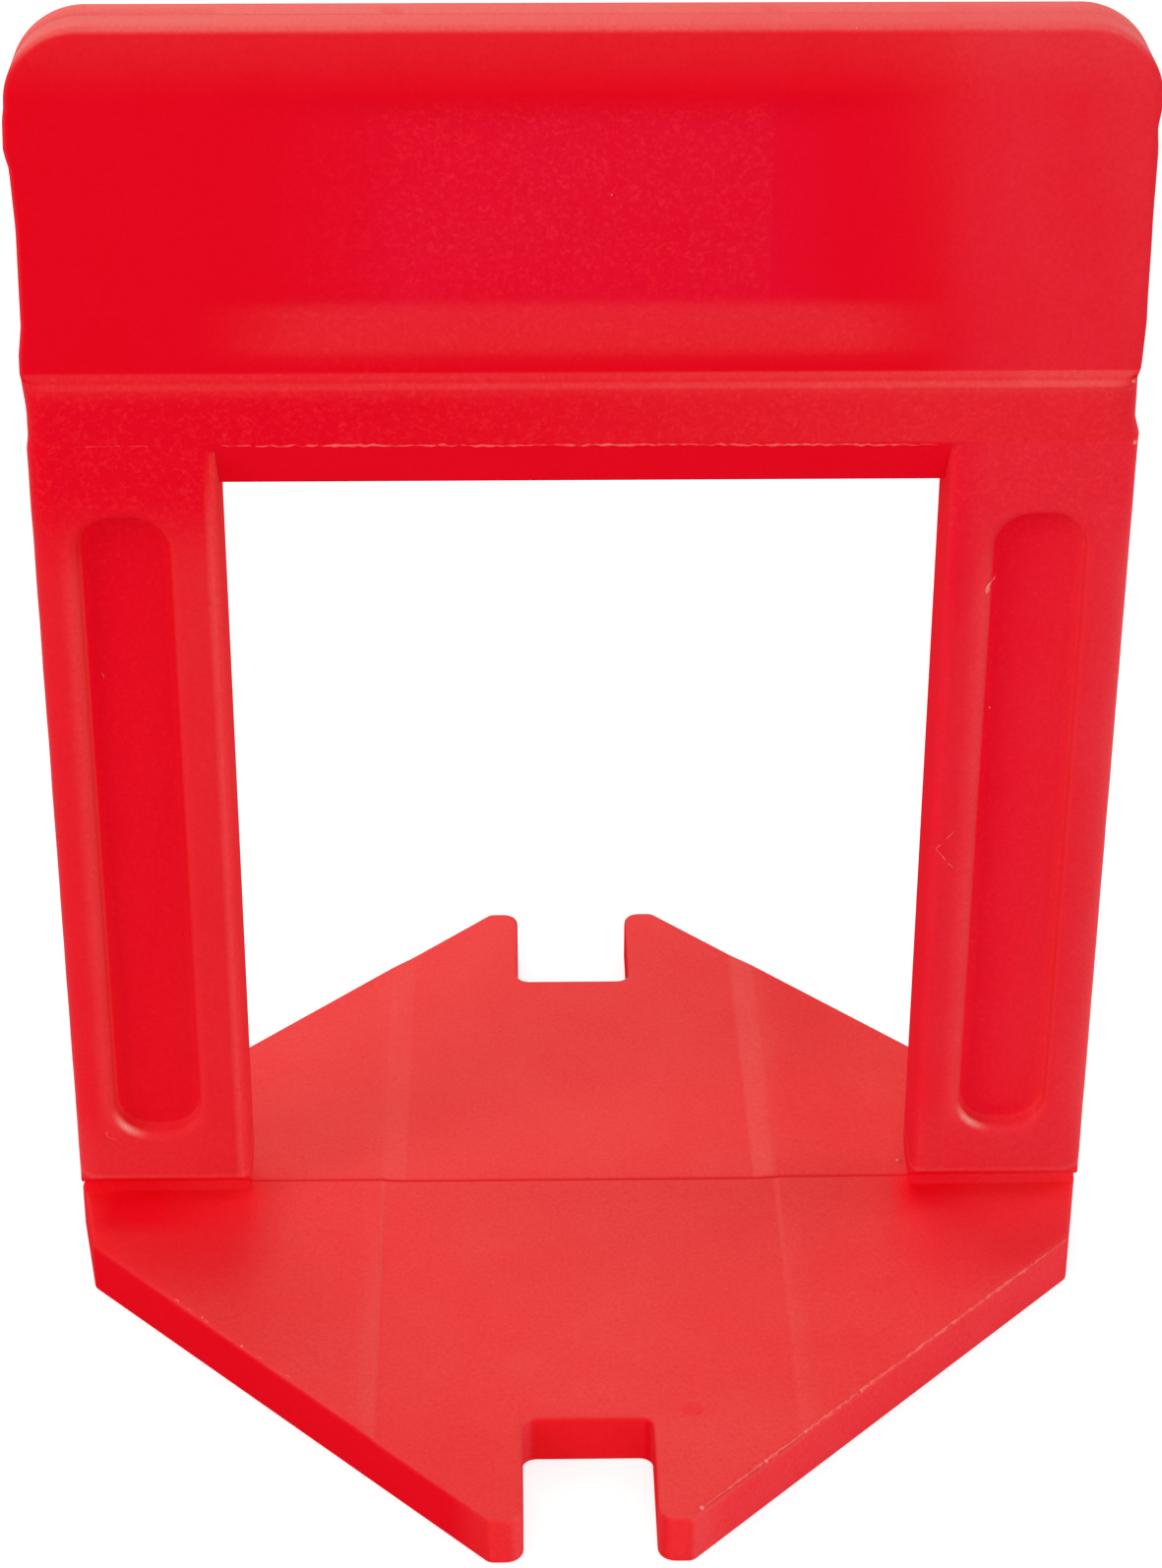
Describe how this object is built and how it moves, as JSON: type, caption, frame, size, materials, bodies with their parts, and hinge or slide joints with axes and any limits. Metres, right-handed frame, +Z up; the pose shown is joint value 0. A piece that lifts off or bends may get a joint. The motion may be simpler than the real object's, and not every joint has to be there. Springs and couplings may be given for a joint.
{
  "type": "tile levelling clip",
  "caption": "Red moulded tile levelling clip: notched base plate under the tiles, pocketed legs in the joint, and a crossbar with a flat header over a window for a wedge.",
  "frame": {"origin": "centre of the base's underside, on the clip's two planes of symmetry", "axes": "+X along the tile joint and across the legs, +Y across the joint, +Z up from the base to the header"},
  "size_m": [0.04, 0.0416, 0.0503],
  "materials": {
    "red_plastic": "satin to glossy as moulded"
  },
  "bodies": {
    "root": {"levelling_clip": "red_plastic"}
  },
  "joints": []
}
